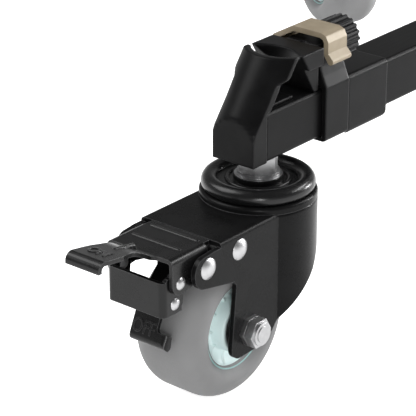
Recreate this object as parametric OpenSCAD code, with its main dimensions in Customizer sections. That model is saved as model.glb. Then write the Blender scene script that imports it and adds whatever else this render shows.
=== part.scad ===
// Tripod dolly: three square arms on a small hub. Each arm carries a clamp for one tripod foot
// and a swivel caster with a foot brake.
// An arm is drawn once, with its swivel axis on Z and +X pointing away from the hub, and then
// placed three times. All sizes are in millimetres and z = 0 is the floor.

/* [Layout] */
// Hub centre to the swivel axis of a caster
arm_reach = 280; // [260:5:340]
// Hub centre to the pivot bolt of an arm
pivot_r = 66; // [62:1:72]

/* [Arm tube] */
// Outer width of the square tube
tube_w = 24.6; // [22:0.2:28]
// Wall of the tube
tube_wall = 1.6; // [1.2:0.1:2.4]
// Outer corner radius of the tube
tube_corner = 2; // [1:0.25:3]
// Fork plate to the underside of the tube
stem_h = 20.6; // [20.6:0.2:26]
// Clearance between the tube and each plug inside it
plug_gap = 0.15; // [0.1:0.05:0.3]

/* [Wheel] */
// Diameter over the tread
wheel_d = 75; // [70:1:80]
// Width of the tyre
wheel_w = 39.7; // [36:0.5:40]
// Radius of the tyre's shoulders
tyre_shoulder = 12.5; // [8:0.5:14]
// Radius where the tyre sits on the core
core_r = 21; // [19:0.5:23]
// Number of ribs on each side of the core
core_ribs = 10; // [6:1:14]
// Outer radius of a wheel bearing
bearing_r = 11; // [10:0.5:12]
// Width of a wheel bearing
bearing_w = 7; // [5:0.5:8]
// Radius of the axle bolt
axle_r = 4; // [3:0.5:5]
// Width across flats of the axle nuts
axle_nut_af = 13; // [12:0.5:15]

/* [Fork] */
// Swivel axis to the wheel's axle
trail = 36.2; // [34:0.2:40]
// Width over the two legs
fork_w = 48; // [48:0.5:56]
// Thickness of the fork's steel
sheet = 2.5; // [2:0.1:3]
// Tread to the underside of the fork plate
fork_gap = 11.5; // [11.5:0.5:16]
// Axle to the front edge of the fork plate
nose_fwd = 20.8; // [19:0.2:21]
// Radius of the round back of the fork
crown_r = 28.4; // [28:0.2:32]

/* [Swivel] */
// Outer radius of the bearing cap
cap_r = 27.4; // [25:0.2:28]
// Radius of the ring of balls
race_r = 19; // [17:0.25:19]
// Radius of a ball
ball_r = 2.4; // [2:0.1:2.4]
// Number of balls
ball_count = 14; // [10:1:18]
// Radius of the stem
stem_r = 5; // [4:0.25:6]
// Width across flats of the stem's hexagon
stem_af = 17; // [15:0.5:19]

/* [Brake] */
// Thickness of the pedal, link and brake arm
brake_t = 2; // [1.5:0.1:2]
// Axle to the pedal's pivot, forward
pedal_pivot_fwd = 29.9; // [29:0.1:31]
// Fork plate to the pedal's pivot, down
pedal_pivot_drop = 9.3; // [9:0.1:10]
// Axle to the upper link pin, forward
link_pin_fwd = 43.8; // [43:0.1:45]
// Fork plate to the upper link pin, down
link_pin_drop = 12.8; // [12:0.1:13.5]
// Axle to the lower link pin, forward
shoe_pin_fwd = 44.8; // [44:0.1:46]
// Fork plate to the lower link pin, down
shoe_pin_drop = 23.3; // [23:0.1:24.5]
// Axle to the brake arm's pivot, forward
arm_pivot_fwd = 7.4; // [7:0.1:9]
// Fork plate to the brake arm's pivot, down
arm_pivot_drop = 7.8; // [7.5:0.1:8.5]
// Axle to the pedal's front edge, beside the tongue
pedal_front_fwd = 49.3; // [48:0.1:51]
// Length of the tongue's steep root
root_run = 10.2; // [9:0.1:14]
// Rise of the tongue's steep root
root_rise = 5.8; // [4:0.1:7]
// Length of the tongue past its root
tongue_run = 21.6; // [18:0.1:26]
// Rise of the tongue past its root
tongue_rise = 3.55; // [2:0.05:5]
// Half width of the tongue at the lip
tongue_half = 9.9; // [9:0.1:11]
// Free gap between the brake shoe and the tread
shoe_gap = 3; // [2.8:0.1:3.2]
// Width of the link bracket
link_w = 34; // [34:0.2:34.6]
// Link bracket's front face, forward of the axle
link_front_fwd = 53; // [52:0.2:55]
// Radius of the large rivet heads
rivet_r = 5.2; // [4.5:0.1:5.5]
// Radius of the small rivet heads
small_rivet_r = 3.1; // [2.8:0.1:3.3]

/* [Foot clamp] */
// Swivel axis to the end face of the arm
tower_front = 19.2; // [18:0.2:22]
// Swivel axis to the end of the tube
tube_end = 9.2; // [8.4:0.2:10]
// Height of the hood and jaw above the tube
hood_h = 22.8; // [21:0.2:25]
// Lean of the hood towards the hub
hood_lean = 42.4; // [40:0.4:44]
// Radius of the hood's curved wall
hood_r = 23; // [22:0.25:24]
// Wall of the hood
hood_wall = 3.1; // [2.6:0.1:3.6]
// Half width of the hood's collar
collar_half = 15.2; // [14.6:0.1:15.6]
// Height of the collar, down from the top
collar_h = 9.2; // [8:0.2:10]
// Swivel axis to the jaw's front edge
jaw_front = 12.8; // [12.6:0.1:14]
// Depth of the jaw at its top
jaw_len = 16.7; // [16:0.1:17]
// Travel of the jaw each way
jaw_travel = 2; // [1:0.25:2]

/* [Carriage] */
// Gap from the jaw to the carriage
jaw_gap = 2.7; // [2.5:0.1:4]
// Length of the clamping band
band_len = 18.6; // [17:0.2:20]
// Half width of the band
band_half = 15.3; // [14.8:0.1:16]
// Length of the sleeve behind the band
sleeve_len = 32; // [26:1:40]
// Running clearance of the carriage on the tube
slide_gap = 0.3; // [0.2:0.05:0.4]
// Height of the clamp screw above the tube
screw_up = 16.3; // [16:0.1:17]
// Radius of the clamp screw
screw_r = 3; // [2.5:0.1:3.2]
// Running clearance of shafts and pins
run_gap = 0.08; // [0.05:0.01:0.1]
// Radius of the knob
knob_r = 10.3; // [9.5:0.1:11]
// Length of the knob
knob_len = 13.6; // [11:0.2:16]
// Number of grip ribs on the knob
knob_ribs = 18; // [14:1:22]
// Thickness of the lever's sheet
lever_t = 2.6; // [2:0.1:3]

/* [Hub] */
// Thickness of the hub plates
plate_t = 3; // [2.5:0.25:5]
// Radius of the hub's round middle
hub_r = 34; // [30:1:38]
// Radius of the plate round each pivot
lobe_r = 17; // [16:0.5:18]
// Radius of the pivot bolts
pivot_bolt_r = 4; // [3:0.5:5]
// Gap between an arm's root and each plate
plate_gap = 0.3; // [0.2:0.1:0.4]

/* [Hidden] */
$fn = 48;
eps = 0.01;
arm_count = 3;

// Heights
axle_z = wheel_d / 2;
fork_top = wheel_d + fork_gap + sheet;
tube_bottom = fork_top + stem_h;
tube_top = tube_bottom + tube_w;
tube_mid = tube_bottom + tube_w / 2;
half = tube_w / 2;
plug_half = half - tube_wall - plug_gap;
clamp_top = tube_top + hood_h;

// Fork and wheel
leg_out = fork_w / 2;
leg_in = leg_out - sheet;
nose_x = trail + nose_fwd;
leg_drop = 12.2;
leg_top = fork_top - 2.3;
fork_len = 78;
hub_half = wheel_w / 2 - 1;
axle_end = leg_out + 8.6;

// Brake: each pin as [x, z]
pedal_pivot = [trail + pedal_pivot_fwd, fork_top - pedal_pivot_drop];
link_pin = [trail + link_pin_fwd, fork_top - link_pin_drop];
shoe_pin = [trail + shoe_pin_fwd, fork_top - shoe_pin_drop];
arm_pivot = [trail + arm_pivot_fwd, fork_top - arm_pivot_drop];
pivot_pin_r = 3;
link_pin_r = 2;
open_pin_gap = 0.4;
side_gap = 0.5;
link_half = link_w / 2;
arm_half = 9.6;
strip_half = 9.4;
flange_half = link_half + side_gap + brake_t;
pedal_rear = nose_x + 0.5;
flange_rear = nose_x + 4.4;
pedal_front = trail + pedal_front_fwd;
plate_z = fork_top - 0.1 - brake_t / 2;
root_low = [pedal_front + 1.54, plate_z - eps];
root_high = root_low + [root_run, root_rise];
lip_r = 3;
lip_top = root_high + [tongue_run, tongue_rise];
lip_mid = lip_top + [0.4, -lip_r];
tip_x = lip_mid[0] + lip_r + brake_t / 2;

// The brake shoe is a flat plate square to this radius of the wheel
shoe_dir = [cos(45), sin(45)];
shoe_along = [sin(45), -cos(45)];
shoe_mid = [trail, axle_z] + (wheel_d / 2 + shoe_gap + brake_t / 2) * shoe_dir;
shoe_top = shoe_mid - 8 * shoe_along;
shoe_low = shoe_mid + 8 * shoe_along;
tab_knee = [trail + 36.1, axle_z + 21.9];
tab_lean = 24.1;

// Foot clamp and carriage
jaw_back = -jaw_front - jaw_len;
band_front = jaw_back - jaw_gap;
band_back = band_front - band_len;
sleeve_front = band_back - 1.5;
sleeve_back = sleeve_front - sleeve_len;
screw_z = tube_top + screw_up;
hole_half = half + slide_gap;
pin_y = 7.5;
pin_z = tube_top + 5.4;
pin_r = 2;
hinge = [-15.5, screw_z - 1];
ear_t = 1.6;
hinge_pin_r = 1.6;

// Hub: its centre is placed so that the whole dolly is centred on the origin
tip_r = arm_reach + tip_x;
hub_x = -(tip_r - (tip_r * cos(60) + tongue_half * sin(60))) / 2;
root_x = -(arm_reach - pivot_r);
root_len = lobe_r + 1;
fixing_bolt_r = 2.5;
fixing_bolt_x = 9.5;
plate_low_z = tube_bottom - plate_gap;
plate_high_z = tube_top + plate_gap;

black = [0.16, 0.16, 0.17];
dark = [0.10, 0.10, 0.11];
steel = [0.72, 0.73, 0.75];
bronze = [0.72, 0.65, 0.54];
teal = [0.72, 0.86, 0.86];
grey = [0.58, 0.58, 0.59];

ARM_NODES = [
    "arm_tube", "arm_root_block", "foot_tower", "caster_stem", "swivel_balls",
    "clamp_carriage", "foot_jaw", "clamp_lever", "clamp_knob",
    "fork", "fork_rivets", "axle_bolt", "tyre", "wheel_core", "wheel_bearings",
    "lock_pedal", "link_bracket", "brake_rivets", "brake_arm"
];
HUB_NODES = ["hub_top_plate", "hub_bottom_plate", "hub_bolts"];

// Two circles and the band between their outer tangents
module band_2d(p, q, rp, rq) {
    d = norm(q - p);
    base = atan2(q[1] - p[1], q[0] - p[0]);
    spread = acos((rp - rq) / d);
    translate(p) circle(rp);
    translate(q) circle(rq);
    polygon([
        p + rp * [cos(base + spread), sin(base + spread)],
        q + rq * [cos(base + spread), sin(base + spread)],
        q + rq * [cos(base - spread), sin(base - spread)],
        p + rp * [cos(base - spread), sin(base - spread)]
    ]);
}

// A bent sheet seen from its edge
module sheet_2d(points, t) {
    for (k = [0:len(points) - 2])
        band_2d(points[k], points[k + 1], t / 2, t / 2);
}

// A centred rectangle with round corners
module round_rect(w, h, r) {
    square([w - 2 * r, h], center = true);
    square([w, h - 2 * r], center = true);
    for (x = [-1, 1], y = [-1, 1])
        translate([x * (w / 2 - r), y * (h / 2 - r)]) circle(r);
}

// A profile drawn in x and z, given thickness from y0 to y1
module across(y0, y1) {
    translate([0, y1, 0]) rotate([90, 0, 0]) linear_extrude(y1 - y0) children();
}

// A profile drawn in y and z, given length from x0 to x1
module along(x0, x1) {
    translate([x0, 0, 0]) rotate([90, 0, 90]) linear_extrude(x1 - x0) children();
}

// A round bar across the arm, through [x, z]
module cross_bar(at, r, y0, y1) {
    translate([at[0], y0, at[1]]) rotate([-90, 0, 0]) cylinder(r = r, h = y1 - y0);
}

// A round bar along the arm, through [y, z]
module long_bar(at, r, x0, x1) {
    translate([x0, at[0], at[1]]) rotate([0, 90, 0]) cylinder(r = r, h = x1 - x0);
}

module hexagon(af, h) {
    cylinder(r = af / 2 / cos(30), h = h, $fn = 6);
}

module both_sides() {
    children();
    mirror([0, 1, 0]) children();
}

module at_arm(i) {
    translate([hub_x, 0, 0]) rotate([0, 0, 360 / arm_count * (i - 1)])
        translate([arm_reach, 0, 0]) children();
}

module at_hub() {
    translate([hub_x, 0, 0]) children();
}

// Arm

module arm_tube() {
    color(black) difference() {
        translate([0, 0, tube_mid]) along(root_x + root_len, tube_end) difference() {
            round_rect(tube_w, tube_w, tube_corner);
            square(tube_w - 2 * tube_wall, center = true);
        }
        translate([0, 0, tube_bottom - 1]) cylinder(r = stem_r + 1, h = tube_wall + 2);
    }
}

module arm_root_block(fixed) {
    end_x = root_x + root_len;
    color(dark) difference() {
        union() {
            translate([root_x, 0, tube_bottom]) cylinder(r = half, h = tube_w);
            translate([root_x, -half, tube_bottom]) cube([root_len - plug_gap, tube_w, tube_w]);
            translate([0, 0, tube_mid]) along(end_x - 1, end_x + 26)
                square(2 * plug_half, center = true);
        }
        translate([root_x, 0, tube_bottom - 1]) cylinder(r = pivot_bolt_r + run_gap, h = tube_w + 2);
        if (fixed)
            translate([root_x + fixing_bolt_x, 0, tube_bottom - 1])
                cylinder(r = fixing_bolt_r + run_gap, h = tube_w + 2);
    }
}

// Hood: a leaning curved wall, wider at its top, that the tripod's foot is held under
module hood_wall_solid() {
    base_z = tube_top + 1.8;
    collar_cut = 7.95;
    translate([tower_front, 0, base_z]) rotate([0, -hood_lean, 0])
        translate([0, 0, -30]) linear_extrude(90) difference() {
            intersection() {
                translate([-hood_r, 0]) circle(hood_r);
                translate([-collar_cut, -hood_r]) square([collar_cut + 1, 2 * hood_r]);
            }
            translate([-hood_r, 0]) circle(hood_r - hood_wall);
        }
}

module foot_tower() {
    collar_z = clamp_top - collar_h;
    seat_half = 9;
    seat_h = 1.6;
    color(dark) difference() {
        union() {
            intersection() {
                hood_wall_solid();
                union() {
                    translate([-60, -half, tube_top - 4])
                        cube([60 + tower_front, tube_w, collar_z - tube_top + 4.5]);
                    translate([-60, -collar_half, collar_z])
                        cube([60 + tower_front, 2 * collar_half, collar_h]);
                }
            }
            translate([(tube_end + tower_front) / 2, 0, tube_bottom])
                linear_extrude(tube_w) end_cap_2d();
            translate([0, 0, tube_mid]) along(-stem_r - 9, tube_end + 1)
                square(2 * plug_half, center = true);
            translate([-14, -seat_half, tube_top]) cube([30, 2 * seat_half, 0.8]);
            translate([-14, -seat_half, tube_top]) cube([17, 2 * seat_half, seat_h]);
        }
        translate([0, 0, tube_bottom - 1]) cylinder(r = stem_r + run_gap, h = tube_w - 4);
    }
}

module end_cap_2d() {
    cap_len = tower_front - tube_end;
    front_r = 1.5;
    translate([-cap_len / 2, -half]) square([cap_len - front_r, tube_w]);
    translate([0, -half + front_r]) square([cap_len / 2, tube_w - 2 * front_r]);
    for (y = [-1, 1])
        translate([cap_len / 2 - front_r, y * (half - front_r)]) circle(front_r);
}

// Swivel

module caster_stem() {
    seat_z = fork_top + 10;
    flange_h = 1.8;
    color(steel) {
        cylinder_from(stem_r, fork_top - sheet - 4, tube_top - 5.6);
        cylinder_from(10, fork_top - sheet - 4, fork_top - sheet - 0.3);
        cylinder_from(stem_af / 2 / cos(30) + 0.4, seat_z, seat_z + flange_h);
        translate([0, 0, seat_z + flange_h]) rotate([0, 0, 30])
            hexagon(stem_af, tube_bottom - 0.2 - seat_z - flange_h);
    }
    color(black) swivel_cap();
}

module cylinder_from(r, z0, z1) {
    translate([0, 0, z0]) cylinder(r = r, h = z1 - z0);
}

module swivel_cap() {
    rim_r = 4.2;
    low = fork_top + 3.8;
    dish_z = fork_top + 4.8;
    translate([0, 0, 0]) rotate_extrude() difference() {
        union() {
            intersection() {
                translate([cap_r - rim_r, fork_top + 6.3]) circle(rim_r);
                translate([0, low]) square([cap_r + 1, 20]);
            }
            translate([stem_r + 0.1, dish_z]) square([cap_r - rim_r - stem_r - 0.1, 2.4]);
            translate([stem_r + 0.1, dish_z]) square([7, 5.1]);
            translate([15, dish_z + 2.4]) circle(1.1);
        }
        translate([race_r, fork_top + ball_r + 0.2]) circle(ball_r + 0.1);
    }
}

module swivel_balls() {
    color(steel) for (k = [0:ball_count - 1])
        rotate([0, 0, 360 / ball_count * k])
            translate([race_r, 0, fork_top + ball_r + 0.2]) sphere(ball_r);
}

// Fork

module leg_profile() {
    rear_z = fork_top - 13;
    tip_r = 6;
    tip = [trail + 6.7, axle_z - leg_drop + tip_r];
    cusp = [trail + 11.3, fork_top - 23.5];
    lobe_high = pedal_pivot + [2.2, -0.6];
    lobe_low = pedal_pivot + [1.7, -1.9];
    lobe_r_high = 7;
    lobe_r_low = 7.4;
    polygon([
        [-crown_r - 1, fork_top],
        [-crown_r - 1, rear_z],
        [-crown_r, rear_z],
        [trail - 44.2, axle_z + 15.8],
        [trail - 22.2, axle_z - 2],
        [trail - 17.3, axle_z - 7.3],
        [trail - 5.2, axle_z - leg_drop + 0.3],
        [tip[0], axle_z - leg_drop],
        [tip[0] + tip_r, tip[1]],
        [trail + 9.6, axle_z + 26.5],
        cusp,
        [cusp[0], fork_top]
    ]);
    translate(tip) circle(tip_r);
    band_2d(lobe_low, [cusp[0] - 0.5, pedal_pivot[1] - 4.2], lobe_r_low, 9.3);
    band_2d(lobe_high, lobe_low, lobe_r_high, lobe_r_low);
    polygon([
        [nose_x - 10, lobe_low[1] - 3], [nose_x - 10, fork_top], [nose_x + 0.5, fork_top],
        [nose_x + 5.5, leg_top], [nose_x + 8.5, leg_top - 0.4], [lobe_high[0], lobe_high[1] + lobe_r_high],
        lobe_low
    ]);
}

module fork_plan(r, y) {
    circle(r);
    translate([0, -y]) square([fork_len, 2 * y]);
}

// The sheet's outside, before the legs are cut to shape: its bends have a radius of 2
module fork_block() {
    r = 2;
    cylinder(r = crown_r, h = fork_top - r);
    cylinder(r = crown_r - r, h = fork_top);
    translate([0, 0, fork_top - r]) rotate_extrude() translate([crown_r - r, 0]) circle(r);
    translate([0, -leg_out, 0]) cube([fork_len, 2 * leg_out, fork_top - r]);
    translate([0, -leg_out + r, 0]) cube([fork_len, 2 * (leg_out - r), fork_top]);
    both_sides() long_bar([leg_out - r, fork_top - r], r, 0, fork_len);
}

module fork() {
    color(black) difference() {
        union() {
            intersection() {
                difference() {
                    union() fork_block();
                    translate([0, 0, -1]) linear_extrude(fork_top - sheet + 1)
                        fork_plan(crown_r - sheet, leg_in);
                    translate([nose_x, -leg_in, -1]) cube([fork_len, 2 * leg_in, fork_top + 2]);
                    translate([nose_x, -leg_out - 1, leg_top]) cube([fork_len, 2 * leg_out + 2, 5]);
                }
                across(-crown_r - 1, crown_r + 1) leg_profile();
            }
            translate([0, 0, fork_top - 0.5]) rotate_extrude() crown_ring_2d();
        }
        cylinder_from(stem_r + run_gap, 0, fork_top + 1);
        cross_bar([trail, axle_z], axle_r, -leg_out - 1, leg_out + 1);
        for (at = [pedal_pivot, arm_pivot])
            cross_bar(at, pivot_pin_r, -leg_out - 1, leg_out + 1);
    }
}

// The raised ring that the balls run inside
module crown_ring_2d() {
    ring_h = 3.8;
    edge_r = 1.6;
    inner = race_r + ball_r + 0.2;
    translate([inner, 0]) square([crown_r - inner, ring_h - edge_r]);
    translate([inner, 0]) square([crown_r - inner - edge_r, ring_h]);
    translate([crown_r - edge_r, ring_h - edge_r]) circle(edge_r);
}

// A domed rivet head, on a face at y
module rivet_head(at, r, y, h) {
    ball = (r * r + h * h) / (2 * h);
    intersection() {
        translate([at[0], y + h - ball, at[1]]) sphere(ball);
        cross_bar(at, r, y, y + h);
    }
}

module fork_rivets() {
    boss_r = pivot_pin_r + 1.2;
    gap = 0.1;
    color(steel) {
        cross_bar(arm_pivot, pivot_pin_r, -leg_out - eps, leg_out + eps);
        both_sides() {
            rivet_head(pedal_pivot, rivet_r, leg_out, 2);
            cross_bar(pedal_pivot, pivot_pin_r, flange_half - brake_t - 1.2, leg_out + eps);
            cross_bar(pedal_pivot, boss_r, flange_half - brake_t - 1.2, flange_half - brake_t - gap);
            cross_bar(pedal_pivot, boss_r, flange_half + gap, leg_in - gap);
            rivet_head(arm_pivot, rivet_r, leg_out, 2);
            cross_bar(arm_pivot, boss_r, arm_half + gap, leg_in - gap);
        }
    }
}

module nut(af, y0, y1) {
    translate([trail, y0, axle_z]) rotate([-90, 0, 0]) hexagon(af, y1 - y0);
}

module axle_bolt() {
    head_h = 5.3;
    jam_h = 2.4;
    collar_h = 1.2;
    color(steel) {
        difference() {
            union() {
                nut(axle_nut_af, -leg_out - head_h, -leg_out);
                cross_bar([trail, axle_z], axle_r, -leg_out - 1, axle_end);
                nut(axle_nut_af, leg_out, leg_out + jam_h);
                nut(axle_nut_af, leg_out + jam_h + 0.2, axle_end - collar_h - 0.4);
                cross_bar([trail, axle_z], axle_nut_af * 0.44, leg_out + jam_h, axle_end - 0.4);
            }
        }
        both_sides() difference() {
            cross_bar([trail, axle_z], axle_r + 2, hub_half + 0.15, leg_in - 0.1);
            cross_bar([trail, axle_z], axle_r + run_gap, 0, leg_in + 1);
        }
    }
}

// Wheel: profiles are drawn as [radius, width] and turned about the axle

module turned() {
    translate([trail, 0, axle_z]) rotate([90, 0, 0]) rotate_extrude() children();
}

module tyre() {
    tread_half = wheel_w / 2 - tyre_shoulder;
    tread_r = wheel_d / 2;
    color(grey) turned() {
        translate([core_r, -tread_half]) square([tread_r - core_r, 2 * tread_half]);
        translate([core_r, -wheel_w / 2]) square([tread_r - tyre_shoulder - core_r, wheel_w]);
        intersection() {
            for (y = [-1, 1])
                translate([tread_r - tyre_shoulder, y * tread_half]) circle(tyre_shoulder);
            translate([core_r, -wheel_w]) square([tread_r, 2 * wheel_w]);
        }
    }
}

module wheel_core() {
    boss_r = bearing_r + 2.4;
    rim_t = 1.2;
    rim_root = core_r - 5;
    web = 3;
    rim_half = wheel_w / 2 - 1.4;
    color(teal) {
        difference() {
            union() {
                turned() {
                    polygon([
                        [core_r, -rim_half], [core_r, rim_half], [core_r - rim_t, rim_half],
                        [rim_root, web + 1], [rim_root, -web - 1], [core_r - rim_t, -rim_half]
                    ]);
                    translate([bearing_r - 3, -web]) square([core_r - bearing_r, 2 * web]);
                    translate([bearing_r - 3, -hub_half]) square([boss_r - bearing_r + 3, 2 * hub_half]);
                }
                for (k = [0:core_ribs - 1]) translate([trail, 0, axle_z])
                    rotate([0, 360 / core_ribs * k, 0])
                        translate([boss_r - 1, -rim_half + 4, -1])
                            cube([rim_root - boss_r + 2, 2 * rim_half - 8, 2]);
            }
            both_sides() cross_bar([trail, axle_z], bearing_r, hub_half - bearing_w, hub_half + 1);
        }
    }
}

module wheel_bearings() {
    groove = 0.6;
    color(steel) both_sides() difference() {
        cross_bar([trail, axle_z], bearing_r, hub_half - bearing_w, hub_half);
        cross_bar([trail, axle_z], axle_r + run_gap, hub_half - bearing_w - 1, hub_half + 1);
        difference() {
            cross_bar([trail, axle_z], bearing_r - 1.8, hub_half - groove, hub_half + 1);
            cross_bar([trail, axle_z], axle_r + 2, hub_half - groove - 1, hub_half + 2);
        }
    }
}

// Brake

// The tongue from above: a waist, then wider to the lip
module tongue_plan() {
    waist = 8.3;
    edge = [
        [pedal_front - 5, waist + 3], [pedal_front, waist + 2.6], [pedal_front + 0.8, waist + 1.2],
        [pedal_front + 2.2, waist + 0.5], [pedal_front + 6.5, waist], [pedal_front + 14.2, waist - 0.1],
        [pedal_front + 17, waist + 0.2], [pedal_front + 21, tongue_half - 0.4],
        [pedal_front + 25.5, tongue_half - 0.1], [tip_x - 4, tongue_half], [tip_x + 1, tongue_half]
    ];
    polygon(concat(edge, [for (k = [len(edge) - 1:-1:0]) [edge[k][0], -edge[k][1]]]));
}

// Corner of a bent sheet, eased from a to c
function eased(a, b, c, cut) = let (p = b + cut * unit(a - b), q = b + cut * unit(c - b))
    [for (t = [0:0.2:1]) (1 - t) * (1 - t) * p + 2 * t * (1 - t) * b + t * t * q];

function unit(v) = v / norm(v);

// Point of a line that runs beside the sheet's middle line, d from it
function beside(pts, k, d) = let (
    a = k == 0 ? unit(pts[1] - pts[0]) : unit(pts[k] - pts[k - 1]),
    b = k == len(pts) - 1 ? a : unit(pts[k + 1] - pts[k]),
    m = unit(a + b)
) pts[k] + d / (m * a) * [-m[1], m[0]];

// A bent sheet seen from its edge, as one outline
module strip_2d(pts, t) {
    last = len(pts) - 1;
    polygon(concat([for (k = [0:last]) beside(pts, k, t / 2)], [for (k = [last:-1:0]) beside(pts, k, -t / 2)]));
}

tongue_line = concat(
    [[pedal_front - 6, root_low[1]]],
    eased([pedal_front - 6, root_low[1]], root_low, root_high, 1.5),
    eased(root_low, root_high, lip_top, 4),
    [for (a = [90:-15:0]) lip_top + [0.4, -lip_r] + lip_r * [cos(a), sin(a)]],
    [lip_mid + [lip_r - 0.05, -1]]
);

// Plate and flanges in one section: y and z
module pedal_channel() {
    top = plate_z + brake_t / 2;
    fold_r = 3;
    in_r = fold_r - brake_t;
    difference() {
        union() {
            translate([-flange_half + fold_r, top - 30]) square([2 * (flange_half - fold_r), 30]);
            translate([-flange_half, top - 30]) square([2 * flange_half, 30 - fold_r]);
            for (y = [-1, 1]) translate([y * (flange_half - fold_r), top - fold_r]) circle(fold_r);
        }
        translate([-flange_half + fold_r, top - 31]) square([2 * (flange_half - fold_r), 31 - brake_t]);
        translate([-flange_half + brake_t, top - 31]) square([2 * (flange_half - brake_t), 31 - fold_r]);
        for (y = [-1, 1]) translate([y * (flange_half - fold_r), top - fold_r]) circle(in_r);
    }
}

module pedal_side() {
    pin_edge = pedal_front - link_pin[0];
    polygon([
        [pedal_rear, fork_top + 1], [pedal_front, fork_top + 1], [pedal_front, link_pin[1]],
        [link_pin[0] + 0.6, link_pin[1] - pin_edge + 0.1], [pedal_pivot[0], pedal_pivot[1] - 7],
        [flange_rear, pedal_pivot[1] - 4.5], [flange_rear, fork_top - 6], [pedal_rear, fork_top - 6]
    ]);
    translate(link_pin) circle(pin_edge);
}

// A raised bead from [x, y, z] to another, the points being on its crest
module bead(p, q, r) {
    drop = [0, 0, -r];
    d = q - p;
    translate(p + drop) {
        sphere(r);
        rotate([0, acos(d[2] / norm(d)), atan2(d[1], d[0])]) cylinder(r = r, h = norm(d));
    }
    translate(q + drop) sphere(r);
}

// A standing rib from [x, z] to another along the tongue, down to its sheet
module long_rib(p, q, r) {
    bead([p[0], 0, p[1]], [q[0], 0, q[1]], r);
    across(-r + 0.1, r - 0.1) polygon([
        p - [r - 0.1, r], q - [0, r], [q[0], root_high[1] + 0.6], root_high - [0, 0.3], root_low + [1.5, 0.5]
    ]);
}

module lock_pedal() {
    crest = plate_z + brake_t / 2 + 0.5;
    rib_half = 13.4;
    strap_half = 17;
    color(black) difference() {
        union() {
            intersection() {
                along(pedal_rear, pedal_front) pedal_channel();
                across(-flange_half - 1, flange_half + 1) pedal_side();
            }
            intersection() {
                across(-leg_in, leg_in) strip_2d(tongue_line, brake_t);
                translate([0, 0, fork_top - 10]) linear_extrude(40) tongue_plan();
            }
            for (x = [nose_x + 4.3, nose_x + 17])
                bead([x, -rib_half, crest], [x, rib_half, crest], 1.2);
            long_rib([root_low[0] + 2.9, plate_z + 5.9], [root_high[0] + 4.6, plate_z + 8.1], 1.2);
        }
        both_sides() translate([pedal_rear - 1, strap_half, fork_top - 30])
            cube([flange_rear - pedal_rear + 1, leg_in, 40]);
        cross_bar(pedal_pivot, pivot_pin_r + run_gap, -leg_in, leg_in);
        cross_bar(link_pin, link_pin_r + run_gap, -leg_in, leg_in);
    }
}

module link_bracket() {
    front = trail + link_front_fwd;
    back = trail + 30;
    corner = 3;
    low = shoe_pin[1] - 4.9;
    high = link_pin[1] + 1.8;
    cheek_back = shoe_pin[0] - 4.5;
    color(black) difference() {
        intersection() {
            translate([(front + back) / 2, 0, 0]) linear_extrude(fork_top) difference() {
                round_rect(front - back, link_w, corner);
                translate([-brake_t, 0]) round_rect(front - back, link_w - 2 * brake_t, corner - brake_t);
            }
            union() {
                across(-link_w, link_w) band_2d(link_pin, shoe_pin, 5.4, 5.2);
                across(-link_w, link_w) band_2d([link_pin[0] + 1, high], [front - 3.8, high], 1.6, 1.6);
                translate([cheek_back, -link_w, low]) cube([front - cheek_back + 1, 2 * link_w, high - low]);
            }
        }
        for (at = [link_pin, shoe_pin])
            cross_bar(at, link_pin_r, -link_half - 1, link_half + 1);
    }
}

module brake_rivets() {
    tail = 0.8;
    link_in = link_half - brake_t;
    color(steel) {
        cross_bar(shoe_pin, link_pin_r, -link_half - eps, link_half + eps);
        both_sides() {
            rivet_head(link_pin, small_rivet_r, flange_half, 1.4);
            cross_bar(link_pin, link_pin_r, link_in - tail, flange_half + eps);
            cross_bar(link_pin, link_pin_r + 0.8, link_in - tail, link_in);
            rivet_head(shoe_pin, small_rivet_r, link_half, 1.4);
        }
    }
}

// Brake arm: one strip that is the shoe, with ears for its two pins, and the release tab below it
module brake_arm() {
    head = arm_pivot + [5.9, 1.1];
    strip_end = tab_knee + 1.5 * [sin(tab_lean), -cos(tab_lean)];
    ear_root = tab_knee + [0.5, -0.4];
    color(black) difference() {
        union() {
            across(-strip_half, strip_half) strip_2d([head, shoe_top, tab_knee, strip_end], brake_t);
            both_sides() across(arm_half - brake_t, arm_half) band_2d(arm_pivot, head + [2, -2], 4.5, 2.6);
            both_sides() across(arm_half - brake_t, arm_half) band_2d(shoe_pin, ear_root, 4.6, 2.2);
            translate([tab_knee[0], 0, tab_knee[1]]) rotate([0, -tab_lean, 0]) release_tab();
        }
        cross_bar(arm_pivot, pivot_pin_r + run_gap, -leg_in, leg_in);
        cross_bar(shoe_pin, link_pin_r + open_pin_gap, -leg_in, leg_in);
    }
}

// The release tab hangs down from its knee, with +X out of its face. It is folded back along its
// bottom and its near side, and is cut away at the upper near corner
module release_tab() {
    notch = [3.95, -14.8];
    notch_r = 2;
    difference() {
        tab_block(0);
        tab_block(brake_t);
        along(-10, 10) {
            translate(notch + [notch_r, 0]) square([20, 20]);
            translate(notch + [0, notch_r]) square([20, 20]);
            translate(notch + [notch_r, notch_r]) circle(notch_r);
        }
    }
}

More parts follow.
